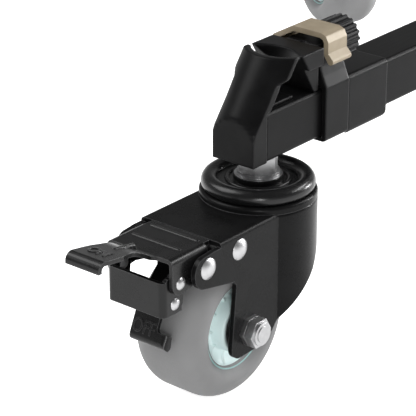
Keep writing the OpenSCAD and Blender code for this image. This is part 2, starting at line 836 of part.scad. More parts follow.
// The tab as a solid, or the space behind its sheet when inset by its thickness
module tab_block(inset) {
    tab_half = 10.8;
    low = -21.9 + inset;
    near = tab_half - inset;
    far = -tab_half - inset;
    face = brake_t / 2 + eps - inset * 1.01;
    r = 3 - inset;
    back = inset > 0 ? -9 : -2.2;
    heel = inset > 0 ? -9 : -3.6;
    top = inset > 0 ? 1 : -0.5;
    intersection() {
        across(far - 1, near + 1) {
            polygon([
                [back, top], [back, -14.3], [heel, -19.8], [heel + 0.3, low + 1],
                [heel + 1.4, low], [face - r, low],
                [face - r, low + r], [face, low + r], [face, top]
            ]);
            translate([face - r, low + r]) intersection() {
                circle(r);
                translate([-0.5, -r]) square(2 * r);
            }
        }
        translate([0, 0, low - 1]) linear_extrude(40) {
            polygon([
                [-10, far], [face, far], [face, near - r], [face - r, near - r], [face - r, near], [-10, near]
            ]);
            translate([face - r, near - r]) circle(r);
        }
    }
}

// Foot clamp and carriage

module foot_jaw() {
    low = tube_top + 0.3;
    step = clamp_top - collar_h;
    lean = 13.8;
    hollow_r = 19.4;
    nut_depth = 8;
    color(dark) difference() {
        union() {
            intersection() {
                across(-collar_half - 0.1, collar_half + 0.1) polygon([
                    [jaw_back, low], [-jaw_front - lean, low],
                    [-jaw_front, clamp_top - 0.4], [jaw_back, clamp_top - 0.4]
                ]);
                union() {
                    translate([jaw_back - 1, -half, 0]) cube([jaw_len + 2, tube_w, step + 0.5]);
                    translate([jaw_back - 1, -collar_half - 0.1, step])
                        cube([jaw_len + 2, 2 * collar_half + 0.2, collar_h]);
                }
            }
            for (y = [-1, 1])
                long_bar([y * pin_y, pin_z], pin_r, jaw_back - jaw_gap - 11, jaw_back + 1);
        }
        translate([-jaw_front - 5.4 + hollow_r, 0, 0]) cylinder_from(hollow_r, low - 1, clamp_top + 1);
        long_bar([0, screw_z], screw_r + run_gap, jaw_back - 1, jaw_back + nut_depth);
    }
}

module band_profile() {
    low = tube_bottom - 2.1;
    top = tube_top + 0.9;
    both_sides_2d() polygon([
        [0, low], [band_half - 2, low], [band_half, low + 2], [band_half, top],
        [band_half - 2.5, top + 5.5], [band_half - 4.4, top + 10.6],
        [band_half - 5.2, top + 18], [band_half - 5.9, top + 20.3], [0, top + 20.3]
    ]);
    translate([band_half - 2, low + 2]) circle(2);
    translate([-band_half + 2, low + 2]) circle(2);
}

module both_sides_2d() {
    children();
    mirror([1, 0]) children();
}

module sleeve_profile() {
    low = tube_bottom - 4;
    top = tube_top + 1.6;
    translate([0, (low + top) / 2]) round_rect(2 * hole_half + 2.8, top - low, 2.4);
}

module clamp_carriage() {
    ear_root = [-9, hinge[1] - 4];
    heel_r = 4;
    low = tube_bottom - 4;
    color(dark) difference() {
        union() {
            along(band_back, band_front) band_profile();
            for (x = [band_front - ear_t, band_back])
                along(x, x + ear_t) band_2d(hinge, ear_root, 3.6, 3.6);
            along(sleeve_front, band_back + eps)
                translate([0, tube_mid - 1]) round_rect(2 * hole_half + 2, tube_w + 4.4, 1.5);
            intersection() {
                along(sleeve_back, sleeve_front) sleeve_profile();
                across(-band_half, band_half) {
                    translate([sleeve_back, low + heel_r]) square([sleeve_len, tube_w + 10]);
                    translate([sleeve_back + heel_r, low]) square([sleeve_len, tube_w + 10]);
                    translate([sleeve_back + heel_r, low + heel_r]) circle(heel_r);
                }
            }
        }
        translate([sleeve_back - 1, -hole_half, tube_bottom - slide_gap])
            cube([band_front - sleeve_back + 2, 2 * hole_half, tube_w + 2 * slide_gap]);
        long_bar([0, screw_z], screw_r + run_gap, band_back - 1, band_front + 1);
        long_bar([0, screw_z], screw_r + 2, band_front - 1.7, band_front + 1);
        for (y = [-1, 1])
            long_bar([y * pin_y, pin_z], pin_r + run_gap, band_front - 14, band_front + 1);
        long_bar(hinge, hinge_pin_r + 0.05, band_back - 1, band_front + 1);
    }
    color(steel) long_bar(hinge, hinge_pin_r, band_back, band_front);
}

// The lever is a bent sheet that reaches over the band's neck
module clamp_lever() {
    x0 = band_back + ear_t + 0.3;
    x1 = band_front - ear_t - 0.3;
    over = band_half - 2.4;
    top = tube_top + 25.9;
    color(bronze) difference() {
        union() {
            long_bar(hinge, 3.4, x0, x1);
            along(x0, x1) sheet_2d([hinge + [-2.1, 0], hinge + [-2.1, 4.4], [-6.8, top]], lever_t);
            along(x0, x1) sheet_2d([[-6.8, top], [over - 3.6, top], [over - 1.2, top - 0.9]], lever_t);
            along(x0, x1) sheet_2d([[over - 1.2, top - 0.9], [over, top - 3.2], [over, top - 8.8]], lever_t);
            along(x0, x1) band_2d([over, top - 8.8], [over + 2.6, top - 12], lever_t / 2, 1.7);
        }
        long_bar(hinge, hinge_pin_r + run_gap, x0 - 1, x1 + 1);
    }
}

module clamp_knob() {
    face = band_back - 1;
    back = face - knob_len;
    rib_depth = 0.9;
    color(black) {
        difference() {
            long_bar([0, screw_z], knob_r, back, face);
            for (k = [0:knob_ribs - 1])
                translate([0, 0, screw_z]) rotate([360 / knob_ribs * k, 0, 0])
                    long_bar([0, knob_r + 0.4], rib_depth + 0.4, back - 1, face + 1);
        }
        long_bar([0, screw_z], screw_r, face - 1, jaw_back + 5);
        long_bar([0, screw_z], screw_r + 1.5, band_front - 1.5, band_front - 0.2);
    }
}

// Hub

module hub_plan() {
    difference() {
        union() {
            circle(hub_r);
            for (i = [0:arm_count - 1]) rotate(360 / arm_count * i) {
                translate([pivot_r, 0]) circle(lobe_r);
                translate([0, -lobe_r]) square([pivot_r, 2 * lobe_r]);
            }
        }
        circle(pivot_bolt_r);
        for (i = [0:arm_count - 1]) rotate(360 / arm_count * i)
            translate([pivot_r, 0]) circle(pivot_bolt_r);
        translate([pivot_r + fixing_bolt_x, 0]) circle(fixing_bolt_r);
    }
}

module hub_top_plate() {
    color(black) translate([0, 0, plate_high_z]) linear_extrude(plate_t) hub_plan();
}

module hub_bottom_plate() {
    color(black) translate([0, 0, plate_low_z - plate_t]) linear_extrude(plate_t) hub_plan();
}

module hub_bolt(r, af) {
    low = plate_low_z - plate_t;
    high = plate_high_z + plate_t;
    nut_h = r * 1.6;
    head_h = r * 1.1;
    cylinder_from(r, low - nut_h - 1, high + eps);
    cylinder_from(r * 1.75, high, high + head_h);
    translate([0, 0, low - nut_h]) hexagon(af, nut_h);
}

module hub_bolts() {
    spacer_r = 12;
    color(steel) {
        hub_bolt(pivot_bolt_r, pivot_bolt_r * 3.25);
        for (i = [0:arm_count - 1]) rotate(360 / arm_count * i)
            translate([pivot_r, 0, 0]) hub_bolt(pivot_bolt_r, pivot_bolt_r * 3.25);
        translate([pivot_r + fixing_bolt_x, 0, 0]) hub_bolt(fixing_bolt_r, fixing_bolt_r * 3.2);
        difference() {
            cylinder_from(spacer_r, plate_low_z, plate_high_z);
            cylinder_from(pivot_bolt_r + 0.1, plate_low_z - 1, plate_high_z + 1);
        }
    }
}

at_hub() hub_top_plate();
at_hub() hub_bottom_plate();
at_hub() hub_bolts();
for (i = [1:arm_count]) at_arm(i) {
    arm_tube();
    arm_root_block(i == 1);
    foot_tower();
    caster_stem();
    swivel_balls();
    clamp_carriage();
    foot_jaw();
    clamp_lever();
    clamp_knob();
    fork();
    fork_rivets();
    axle_bolt();
    tyre();
    wheel_core();
    wheel_bearings();
    lock_pedal();
    link_bracket();
    brake_rivets();
    brake_arm();
}
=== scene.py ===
# Tripod dolly: three square arms on a hub, each with a clamp for one tripod foot and a swivel
# caster with a foot brake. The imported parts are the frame, and each section below finishes one
# of the real pieces, in the order in which the dolly is put together.
import math

import bmesh
import bpy
from mathutils import Matrix, Vector


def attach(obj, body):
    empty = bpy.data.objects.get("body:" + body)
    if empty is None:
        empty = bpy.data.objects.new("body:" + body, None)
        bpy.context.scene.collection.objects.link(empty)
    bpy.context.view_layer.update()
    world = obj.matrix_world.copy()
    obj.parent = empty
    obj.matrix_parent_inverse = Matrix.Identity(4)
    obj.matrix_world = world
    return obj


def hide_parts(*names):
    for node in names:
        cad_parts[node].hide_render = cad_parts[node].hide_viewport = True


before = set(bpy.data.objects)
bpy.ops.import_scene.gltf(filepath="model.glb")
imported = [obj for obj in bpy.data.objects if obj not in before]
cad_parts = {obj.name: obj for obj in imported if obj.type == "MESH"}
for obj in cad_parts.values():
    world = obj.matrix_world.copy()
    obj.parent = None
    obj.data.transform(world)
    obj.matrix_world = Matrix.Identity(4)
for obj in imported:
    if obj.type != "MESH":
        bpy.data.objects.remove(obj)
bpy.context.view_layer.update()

# Hub plates
# Two laser-cut steel plates, powder coated satin black. The pivot bolts clamp the roots of the
# arms between them.

ARMS = (1, 2, 3)
HUB_CENTRE = Vector((-0.096523174, 0, 0))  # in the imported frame
ARM_REACH = 0.28  # from the hub's centre to each swivel axis
MM = 1000  # in a metre
# The painted edge highlight of coated steel: a lighter grey mixed in along the edges.
EDGE_HIGHLIGHT_COAT = (0.075, 0.075, 0.077)


class Value:
    """A socket of a finish that takes Python's arithmetic."""

    def __init__(self, finish, socket):
        self.finish = finish
        self.socket = socket

    def math(self, operation, *values):
        return self.finish.node("Math", {"operation": operation}, dict(enumerate(values)))

    def __add__(self, other):
        return self.math("ADD", self, other)

    __radd__ = __add__

    def __sub__(self, other):
        return self.math("SUBTRACT", self, other)

    def __rsub__(self, other):
        return self.math("SUBTRACT", other, self)

    def __mul__(self, other):
        return self.math("MULTIPLY", self, other)

    __rmul__ = __mul__

    def __pow__(self, other):
        return self.math("POWER", self, other)

    def band(self, low=0.3, high=0.7, start=0, end=1):
        """The start below low, the end above high, and smooth between them."""
        values = {"Value": self, "From Min": low, "From Max": high, "To Min": start, "To Max": end}
        return self.finish.node("MapRange", {"interpolation_type": "SMOOTHSTEP"}, values)

    def swing(self, amount, middle=0.5):
        """A pattern's swing to both sides of its middle, times an amount."""
        return (self - middle) * amount


class Finish:
    """A material, or the studio's world, as it grows from its patterns to its shader."""

    def __init__(self, name, kind="Material"):
        owners = {"Material": bpy.data.materials, "World": bpy.data.worlds}
        self.kind = kind
        self.owner = owners[kind].new(name)
        self.owner.use_nodes = True
        self.tree = self.owner.node_tree
        self.tree.nodes.clear()

    def node(self, kind, settings=None, values=None, output=0):
        """A node with its settings, and then the values or links of its sockets."""
        made = self.tree.nodes.new("ShaderNode" + kind)
        for key, setting in (settings or {}).items():
            setattr(made, key, setting)
        for key, value in (values or {}).items():
            if isinstance(value, Value):
                self.tree.links.new(value.socket, made.inputs[key])
            else:
                made.inputs[key].default_value = value
        return Value(self, made.outputs[output]) if made.outputs else None

    def place(self, scale=(1, 1, 1), arm=None, shift=(0, 0, 0)):
        """Object coordinates, in an arm's own directions where a pattern follows the arm."""
        coordinates = self.node("TexCoord", output="Object")
        turn = 0
        start = Vector(shift)
        if arm:
            turn = -math.tau / len(ARMS) * (arm - 1)
            start -= Matrix.Rotation(turn, 3, "Z") @ HUB_CENTRE + Vector((ARM_REACH, 0, 0))
        values = {"Vector": coordinates, "Location": start, "Rotation": (0, 0, turn)}
        local = self.node("Mapping", values=values)
        return self.node("VectorMath", {"operation": "MULTIPLY"}, {0: local, 1: scale})

    def noise(self, grain, detail=2, place=None):
        """Noise whose spots are about as many millimetres wide as its grain."""
        values = {"Vector": place or self.place(), "Scale": MM / grain, "Detail": detail}
        return self.node("TexNoise", values=values)

    def mix(self, amount, first, second):
        first, second = [c if isinstance(c, Value) else (*c, 1) for c in (first, second)]
        values = {0: amount, 6: first, 7: second}
        return self.node("Mix", {"data_type": "RGBA"}, values, output=2)

    def relief(self, height, depth, edge=0.0):
        """The surface's normal, from a height between 0 and 1 and its depth in millimetres."""
        values = {"Height": height, "Strength": 1.0, "Distance": depth / MM}
        if edge:
            values["Normal"] = self.node("Bevel", {"samples": 4}, {"Radius": edge / MM})
        return self.node("Bump", values=values)

    def rim(self, radius):
        """1 along the outer and inner edges that a radius in millimetres would round, else 0."""
        rounded = self.node("Bevel", {"samples": 6}, {"Radius": radius / MM})
        plain = self.node("NewGeometry", output="Normal")
        values = {0: rounded, 1: plain}
        along = self.node("VectorMath", {"operation": "DOT_PRODUCT"}, values, output="Value")
        return (1 - along).band(low=0.01, high=0.10)

    def done(self, colour, roughness, **values):
        values = {"Base Color": colour, "Roughness": roughness, **values}
        return self.ends(self.node("BsdfPrincipled", values=values))

    def ends(self, shader):
        self.node("Output" + self.kind, values={0: shader})
        return self.owner


def coated(name, dark, light, rough, gloss, grain=0.35, edge=0.35):
    """Coated steel: slow drifts of tone, a fine orange peel, edges that the coat rounds, and a
    painted highlight along the edges.
    """
    finish = Finish(name)
    drift = finish.noise(grain=14, detail=3)
    peel = finish.noise(grain)
    colour = finish.mix(drift.band(0.35, 0.65), dark, light)
    # Painted highlight: the edges are mixed towards a lighter grey.
    colour = finish.mix(finish.rim(0.7) * 0.8, colour, EDGE_HIGHLIGHT_COAT)
    return finish.done(colour, rough + drift.swing(0.12) + peel.swing(0.06), **{
        "Specular IOR Level": gloss,
        "Normal": finish.relief(peel, depth=0.006, edge=edge),
    })


def dress(material, *names):
    for name in names:
        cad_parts[name].material_slots[0].material = material


def per_arm(*names):
    return [f"{name}_{arm}" for name in names for arm in ARMS]


powder_coat = coated(
    "hub_powder_coat",
    dark=(0.006, 0.006, 0.0063),
    light=(0.009, 0.009, 0.0094),
    rough=0.42,
    gloss=0.22,
)
dress(powder_coat, "hub_top_plate", "hub_bottom_plate")

# Bolts, balls and rivets
# Zinc-plated steel, bright, with a faint cloudy bloom and fine die marks. The bolts hold the
# arms and the wheels, the rivets hold the brakes, and the balls run under the caps.

ZINC = (0.42, 0.42, 0.425)
ZINC_BLOOM = tuple(1.12 * c for c in ZINC)

finish = Finish("zinc_plate")
bloom = finish.noise(grain=3.5, detail=4)
marks = finish.noise(grain=0.25, detail=3)
zinc = finish.done(
    finish.mix(bloom.band(), ZINC, ZINC_BLOOM),
    0.30 + bloom * 0.12 + marks.swing(0.1),
    Metallic=1.0,
    Normal=finish.relief(marks, depth=0.0008, edge=0.25),
)
dress(zinc, "hub_bolts", *per_arm("swivel_balls", "fork_rivets", "axle_bolt", "brake_rivets"))

# Arm tubes
# Extruded square aluminium tube, anodised satin black. The extrusion leaves faint lines along
# its length.

ALONG_ARM = (0.02, 1, 1)

for arm in ARMS:
    finish = Finish(f"black_anodised_{arm}")
    lines = finish.noise(grain=0.5, detail=3, place=finish.place(ALONG_ARM, arm))
    cloud = finish.noise(grain=30)
    colour = finish.mix(cloud.band(), (0.0045, 0.0045, 0.0047), (0.007, 0.007, 0.0073))
    anodised = finish.done(colour, 0.36 + lines.swing(0.12), **{
        "Specular IOR Level": 0.07,
        "Normal": finish.relief(lines, depth=0.003, edge=0.3),
    })
    dress(anodised, f"arm_tube_{arm}")

# Root blocks
# Glass-filled nylon, moulded black, one in the inner end of each arm. Spark erosion of the mould
# gives the matte grain, and a slow flow of tone shows where the melt met.

# The painted edge highlight of moulded plastic: a lighter grey mixed in along the edges.
EDGE_HIGHLIGHT_PLASTIC = (0.06, 0.06, 0.062)


def moulded(name, dark, light, rough, gloss, grain, edge):
    finish = Finish(name)
    flow = finish.noise(grain=9, detail=3)
    spark = finish.noise(grain)
    colour = finish.mix(flow.band(0.35, 0.65), dark, light)
    # Painted highlight: the edges are mixed towards a lighter grey.
    colour = finish.mix(finish.rim(1.1) * 0.8, colour, EDGE_HIGHLIGHT_PLASTIC)
    return finish.done(colour, rough + spark.swing(0.14) + flow.swing(0.08), **{
        "Specular IOR Level": gloss,
        "Normal": finish.relief(spark, depth=0.006, edge=edge),
    })


nylon = moulded(
    "black_nylon",
    dark=(0.0045, 0.0045, 0.0047),
    light=(0.0065, 0.0065, 0.0068),
    rough=0.34,
    gloss=0.09,
    grain=0.4,
    edge=0.6,
)
dress(nylon, *per_arm("arm_root_block"))

# Towers
# Moulded of the same nylon, with a plug that fills the arm's end. The hood leans towards the hub
# over the seat of the foot, and widens into a collar at its top. Sizes are in millimetres.

TUBE_BASE, TUBE_TOP, TUBE_END = 109.6, 134.2, 9.2
CAP_FRONT, CAP_HALF = 19.5, 12.3
HOOD_FRONT, HOOD_START, HOOD_TOP, HOOD_SLOPE = 19.2, 132.0, 157.0, 0.768
HOOD_BOW, BOW_LOSS, BOW_LOW, BOW_HIGH = 5.7, 0.9, 136, 150
COLLAR_HALF, COLLAR_LOW, COLLAR_HIGH = 15.2, 145.2, 148.4
CREASE_BLEND = 0.25
POCKET_RADIUS, POCKET_DEPTH, POCKET_BASE = 16.3, 10.5, 134.45
WALL, LEAST_WALL, WALL_SLOPE, WALL_TOP = 3.83, 1.2, 0.3, 146
SEAT_BACK, SEAT_HALF = -14, 9
PLUG_BACK, PLUG_FRONT, PLUG_HALF = -14, 10, 10.5
PLUG_BASE, PLUG_TOP = 111.4, 132.4
STEM_HALF, OVERLAP = 5.6, 0.4
RING_STEPS = 14
CAP_HEIGHTS = [TUBE_BASE, 112, 116, 120, 123, 126, 128, 130, 132, 133, TUBE_TOP, POCKET_BASE]
HOOD_HEIGHTS = [135 + 0.75 * k for k in range(29)] + [HOOD_TOP]
VOXEL, EASING_ROUNDS = 0.42, 3


def arm_place(arm):
    turn = Matrix.Rotation(math.tau / len(ARMS) * (arm - 1), 4, "Z")
    return Matrix.Translation(HUB_CENTRE) @ turn @ Matrix.Translation((ARM_REACH, 0, 0))


def fit(name, mesh, material, body, node=None, smooth=True):
    """Puts a finished mesh on its body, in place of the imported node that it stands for."""
    piece = bpy.data.objects.new(name, mesh)
    bpy.context.scene.collection.objects.link(piece)
    mesh.materials.clear()
    mesh.materials.append(material)
    for face in mesh.polygons:
        face.use_smooth = smooth
    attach(piece, body)
    if node:
        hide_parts(node)


def loft(sections):
    """A closed skin over rings of points, one ring above another."""
    count = len(sections[0])
    last = (len(sections) - 1) * count
    points = [point for ring in sections for point in ring]
    faces = [tuple(reversed(range(count)))]
    for start in range(0, last, count):
        for j in range(count):
            a = start + j
            b = start + (j + 1) % count
            faces.append((a, b, b + count, a + count))
    faces.append(tuple(range(last, last + count)))
    return points, faces


def block(x, y, z):
    """A plain block between two places on each axis."""
    ring = ((x[0], y[0]), (x[1], y[0]), (x[1], y[1]), (x[0], y[1]))
    return loft([[(u, v, w) for u, v in ring] for w in z])


def joined(name, solids):
    """One mesh of closed solids whose points are in millimetres."""
    points, faces = [], []
    for solid_points, solid_faces in solids:
        start = len(points)
        points += [tuple(c / MM for c in point) for point in solid_points]
        faces += [tuple(start + k for k in face) for face in solid_faces]
    mesh = bpy.data.meshes.new(name)
    mesh.from_pydata(points, [], faces)
    return mesh


def evaluated(name, data, prepare=None):
    """The plain mesh of a curve, or of a mesh with the modifiers that prepare gives it."""
    holder = bpy.data.objects.new(name, data)
    bpy.context.scene.collection.objects.link(holder)
    if prepare:
        prepare(holder)
    bpy.context.view_layer.update()
    graph = bpy.context.evaluated_depsgraph_get()
    mesh = bpy.data.meshes.new_from_object(holder.evaluated_get(graph))
    bpy.data.objects.remove(holder)
    return mesh


def mould_skin(holder):
    skin = holder.modifiers.new("skin", "REMESH")
    skin.mode = "VOXEL"
    skin.voxel_size = VOXEL / MM
    ease = holder.modifiers.new("ease", "SMOOTH")
    ease.factor = 0.5
    ease.iterations = EASING_ROUNDS


def soften(solids):
    """Joins closed solids into one skin whose edges are eased as a mould eases them."""
    return evaluated("solids", joined("solids", solids), mould_skin)


def rise(value, low, high):
    """0 below low, 1 above high, smooth between them."""
    share = min(1, max(0, (value - low) / (high - low)))
    return share * share * (3 - 2 * share)


def lesser(first, second, blend):
    """The lesser of two lengths, rounded where they cross."""
    return -blend * math.log(math.exp(-first / blend) + math.exp(-second / blend))


def hood_ring(z):
    """The tower's outline at a height: its bowed front, then its inner side on the way back."""
    half = CAP_HALF + (COLLAR_HALF - CAP_HALF) * rise(z, COLLAR_LOW, COLLAR_HIGH)
    middle = HOOD_FRONT - (z - HOOD_START) * HOOD_SLOPE
    bow = HOOD_BOW - BOW_LOSS * rise(z, BOW_LOW, BOW_HIGH)
    thickness = WALL + WALL_SLOPE * max(0, WALL_TOP - z)
    front, back = [], []
    for k in range(2 * RING_STEPS + 1):
        y = half * (k / RING_STEPS - 1)
        x = lesser(CAP_FRONT, middle - bow * (y / CAP_HALF) ** 2, CREASE_BLEND)
        front.append((x, y, z))
        inner = TUBE_END
        if z >= POCKET_BASE:
            hollow = POCKET_RADIUS - math.sqrt(POCKET_RADIUS ** 2 - y * y)
            inner = max(middle - thickness - hollow, middle - POCKET_DEPTH)
        back.append((min(inner, x - LEAST_WALL), y, z))
    return front + back[::-1]


tower_solids = [loft([hood_ring(z) for z in CAP_HEIGHTS + HOOD_HEIGHTS])]
for seat_front, seat_height in ((12, 0.8), (3, 1.6)):
    seat = (TUBE_TOP, TUBE_TOP + seat_height)
    tower_solids.append(block((SEAT_BACK, seat_front), (-SEAT_HALF, SEAT_HALF), seat))
for ends in ((PLUG_BACK, -STEM_HALF), (STEM_HALF, PLUG_FRONT)):
    tower_solids.append(block(ends, (-PLUG_HALF, PLUG_HALF), (PLUG_BASE, PLUG_TOP)))
for sides in ((STEM_HALF, PLUG_HALF), (-PLUG_HALF, -STEM_HALF)):
    beside_stem = (-STEM_HALF - OVERLAP, STEM_HALF + OVERLAP)
    tower_solids.append(block(beside_stem, sides, (PLUG_BASE, PLUG_TOP)))

tower = soften(tower_solids)
for arm in ARMS:
    body = "hub" if arm == 1 else f"arm_{arm}"
    mesh = tower.copy()
    mesh.transform(arm_place(arm))
    fit(f"tower_{arm}", mesh, nylon, body, f"foot_tower_{arm}")

# Jaws and carriages
# Moulded of the same nylon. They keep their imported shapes, and get the eased edges of a
# moulding.

to_arm = arm_place(1).inverted()
for part, body in (("foot_jaw", "jaw"), ("clamp_carriage", "carriage")):
    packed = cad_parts[f"{part}_1"].data
    points = [tuple(MM * c for c in to_arm @ vertex.co) for vertex in packed.vertices]
    eased = soften([(points, [tuple(face.vertices) for face in packed.polygons])])
    for arm in ARMS:
        mesh = eased.copy()
        mesh.transform(arm_place(arm))
        fit(f"{part}_skin_{arm}", mesh, nylon, f"{body}_{arm}", f"{part}_{arm}")

# Swivel stems and caps
# The stem is turned zinc-plated steel with a hexagon for a spanner. The cap round it is pressed
# from sheet and painted gloss black, and the balls run under it.

CAP_INNER = 11.4
PAINT_EDGE = 0.2


def millimetres(finish, arm, axes, shift=(0, 0, 0)):
    """Coordinates on an arm, from its swivel axis and the floor, or moved by a shift."""
    place = finish.place((MM, MM, MM), arm, shift)
    return [finish.node("SeparateXYZ", values={0: place}, output=axis) for axis in axes]


def rings(finish, radius, density, detail):
    """Fine rings round an axis, as a lathe or a grinder leaves them."""
    values = {"W": radius, "Scale": density, "Detail": detail}
    return finish.node("TexNoise", {"noise_dimensions": "1D"}, values)


for arm in ARMS:
    finish = Finish(f"stem_and_cap_{arm}")
    x, y = millimetres(finish, arm, "XY")
    radius = (x * x + y * y) ** 0.5
    is_cap = radius.band(CAP_INNER, CAP_INNER + PAINT_EDGE)
    bloom = finish.noise(grain=3.5, detail=4)
    peel = finish.noise(grain=0.35)
    turning = rings(finish, radius, density=1.5, detail=2)
    steel = finish.mix(bloom.band(), (0.34, 0.34, 0.345), ZINC)
    paint = finish.mix(bloom.band(), (0.006, 0.006, 0.0063), (0.008, 0.008, 0.0083))
    roughness = 0.38 - is_cap * 0.12 + peel.swing(0.06)
    material = finish.done(finish.mix(is_cap, steel, paint), roughness, **{
        "Metallic": 1 - is_cap,
        "Specular IOR Level": 0.32,
        "Normal": finish.relief(turning * (1 - is_cap), depth=0.0004, edge=0.25),
    })
    dress(material, f"caster_stem_{arm}")

# Clamp levers
# Bent from steel sheet and lacquered a satin champagne bronze, with fine metal flake in it.

FLAKES_PER_METRE = 4500
MEAN_FLAKE = 0.3

finish = Finish("champagne_lacquer")
cloud = finish.noise(grain=6, detail=3)
flake = finish.node("TexVoronoi", values={"Vector": finish.place(), "Scale": FLAKES_PER_METRE})
colour = finish.mix(cloud.band(), (0.27, 0.220, 0.150), (0.30, 0.247, 0.171))
lacquer = finish.done(
    colour,
    0.44 + flake.swing(0.1, MEAN_FLAKE),
    Metallic=0.15,
    Normal=finish.relief(flake, depth=0.002, edge=0.4),
)
dress(lacquer, *per_arm("clamp_lever"))

# Clamp knobs
# Ribbed black plastic, duller and finer in grain than the carriages, with the clamp screw fast
# in its middle.

knob_plastic = moulded(
    "knob_plastic",
    dark=(0.003, 0.003, 0.0032),
    light=(0.005, 0.005, 0.0053),
    rough=0.42,
    gloss=0.07,
    grain=0.3,
    edge=0.25,
)
dress(knob_plastic, *per_arm("clamp_knob"))

# Forks
# Pressed from one steel sheet, with a round back, a raised race for the balls and two legs.
# Painted gloss black after pressing.

fork_paint = coated(
    "fork_enamel",
    dark=(0.005, 0.005, 0.0052),
    light=(0.007, 0.007, 0.0072),
    rough=0.28,
    gloss=0.09,
    grain=0.5,
    edge=0.5,
)
dress(fork_paint, *per_arm("fork"))

# Tyres
# Grey thermoplastic rubber, moulded on the core. The tread keeps a fine matte skin, and floor
# dust dulls its middle. Sizes are in millimetres, from the middle of the axle.

AXLE = Vector((0.0362, 0, 0.0375))  # in metres, from the swivel axis and the floor
TYRE_RADIUS, TYRE_HALF, SHOULDER = 37.5, 19.85, 12.5
TYRE_BEAD = [(26.4, 19.78), (25.2, 19.55), (24.0, 18.9), (23.0, 17.9), (22.2, 16.6), (20.6, 16.2)]
DUST_FULL, DUST_END = 60, 190  # squared distances from the tread's middle line


def turned(profile, steps):
    """A closed ring turned about the axle from a profile of (radius, width) points."""
    count = len(profile)
    points, faces = [], []
    for k in range(steps):
        angle = math.tau * k / steps
        for radius, width in profile:
            points.append((radius * math.cos(angle), width, radius * math.sin(angle)))
        after = ((k + 1) % steps - k) * count
        for j in range(count):
            a = k * count + j
            b = k * count + (j + 1) % count
            faces.append((a, a + after, b + after, b))
    return points, faces


def arc(centre, radius, start, end, count):
    """Points along an arc, its angles in degrees."""
    turns = [math.radians(start + (end - start) * k / count) for k in range(count + 1)]
    return [(centre[0] + radius * math.cos(t), centre[1] + radius * math.sin(t)) for t in turns]


def both_sides(side):
    """A wheel's profile, from one side of it and that side's mirror image."""
    return side + [(radius, -width) for radius, width in reversed(side)]


def wheel_mesh(name, arm, solids):
    """Solids about the axle as one mesh on an arm, with its faces outwards."""
    mesh = joined(name, solids)
    mesh.transform(arm_place(arm) @ Matrix.Translation(AXLE))
    bulk = bmesh.new()
    bulk.from_mesh(mesh)
    bmesh.ops.recalc_face_normals(bulk, faces=bulk.faces)
    bulk.to_mesh(mesh)
    bulk.free()
    return mesh


shoulder_centre = (TYRE_RADIUS - SHOULDER, TYRE_HALF - SHOULDER)
tyre_side = arc(shoulder_centre, SHOULDER, start=0, end=78, count=14) + TYRE_BEAD

for arm in ARMS:
    finish = Finish(f"grey_rubber_{arm}")
    (y,) = millimetres(finish, arm, "Y")
    skin = finish.noise(grain=0.6, detail=3)
    bloom = finish.noise(grain=11, detail=3)
    tread = 1 - (y * y).band(DUST_FULL, DUST_END)
    plain = finish.mix(bloom.band(), (0.240, 0.240, 0.242), (0.258, 0.258, 0.260))
    colour = finish.mix(tread * 0.35 * skin.band(), plain, (0.218, 0.218, 0.219))
    rubber = finish.done(colour, 0.58 + skin.swing(0.1) + tread * 0.06, **{
        "Specular IOR Level": 0.35,
        "Normal": finish.relief(skin, depth=0.008),
    })
    mesh = wheel_mesh(f"tyre_mesh_{arm}", arm, [turned(both_sides(tyre_side), steps=128)])
    fit(f"moulded_tyre_{arm}", mesh, rubber, f"wheel_{arm}", f"tyre_{arm}")

# Wheel cores
# Pale teal polypropylene, dished and ribbed. Its colour is a deeper teal at its rim,
# and a little deeper round its boss.

CORE_RIM = [(22.1, 16.5), (21.6, 16.7), (21.2, 16.3), (20.8, 15.2)]
CORE_DISH = [(19.8, 13.7), (18.2, 12.5), (16.4, 11.7), (15.0, 11.3), (14.0, 11.3), (13.4, 11.8)]
CORE_BOSS = [(13.2, 17.9), (12.7, 18.6), (11.05, 18.8), (11.05, 11.9)]
RIB_COUNT = 10
RIB_FOOT, RIB_CREST = 0.8, 0.5  # half its thickness there
RIB_STATIONS = ((12.8, 8.0, 12.9), (15.0, 8.0, 12.1), (17.5, 8.0, 12.8), (20.2, 11.0, 14.6))


def core_rib(angle, side):
    """A rib along a radius, on one side of the wheel."""
    outward = Vector((math.cos(angle), 0, math.sin(angle)))
    aside = Vector((-math.sin(angle), 0, math.cos(angle)))
    sections = []
    for radius, foot, crest in RIB_STATIONS:
        flank = [(-RIB_FOOT, foot), (RIB_FOOT, foot), (RIB_CREST, crest), (-RIB_CREST, crest)]
        spine = radius * outward
        sections.append([spine + u * aside + Vector((0, side * v, 0)) for u, v in flank])
    return loft(sections)


core_solids = [turned(both_sides(CORE_RIM + CORE_DISH + CORE_BOSS), steps=96)]
for k in range(RIB_COUNT):
    core_solids += [core_rib(math.tau * k / RIB_COUNT, side) for side in (1, -1)]

for arm in ARMS:
    finish = Finish(f"teal_polypropylene_{arm}")
    x, z = millimetres(finish, arm, "XZ", -AXLE)
    radius = (x * x + z * z) ** 0.5
    cloud = finish.noise(grain=5, detail=3)
    spark = finish.noise(grain=0.4)
    rim = radius.band(20.5, 21.5)
    boss = 1 - radius.band(13.2, 14.2)
    pale = finish.mix(cloud.band(), (0.84, 0.98, 0.975), (0.86, 0.99, 0.985))
    colour = finish.mix((rim + boss * 0.2) * 0.8, pale, (0.16, 0.40, 0.39))
    teal = finish.done(colour, 0.42 + spark.swing(0.08), **{
        "Specular IOR Level": 0.4,
        "Normal": finish.relief(spark, depth=0.003, edge=0.3),
    })
    mesh = wheel_mesh(f"core_mesh_{arm}", arm, core_solids)
    fit(f"moulded_core_{arm}", mesh, teal, f"wheel_{arm}", f"wheel_core_{arm}")

# Wheel bearings
# Ground steel rings with a black rubber seal between them, one pressed into each side of the
# core.

SEAL_INNER, SEAL_OUTER, SEAL_LIP = 6.0, 9.1, 0.1

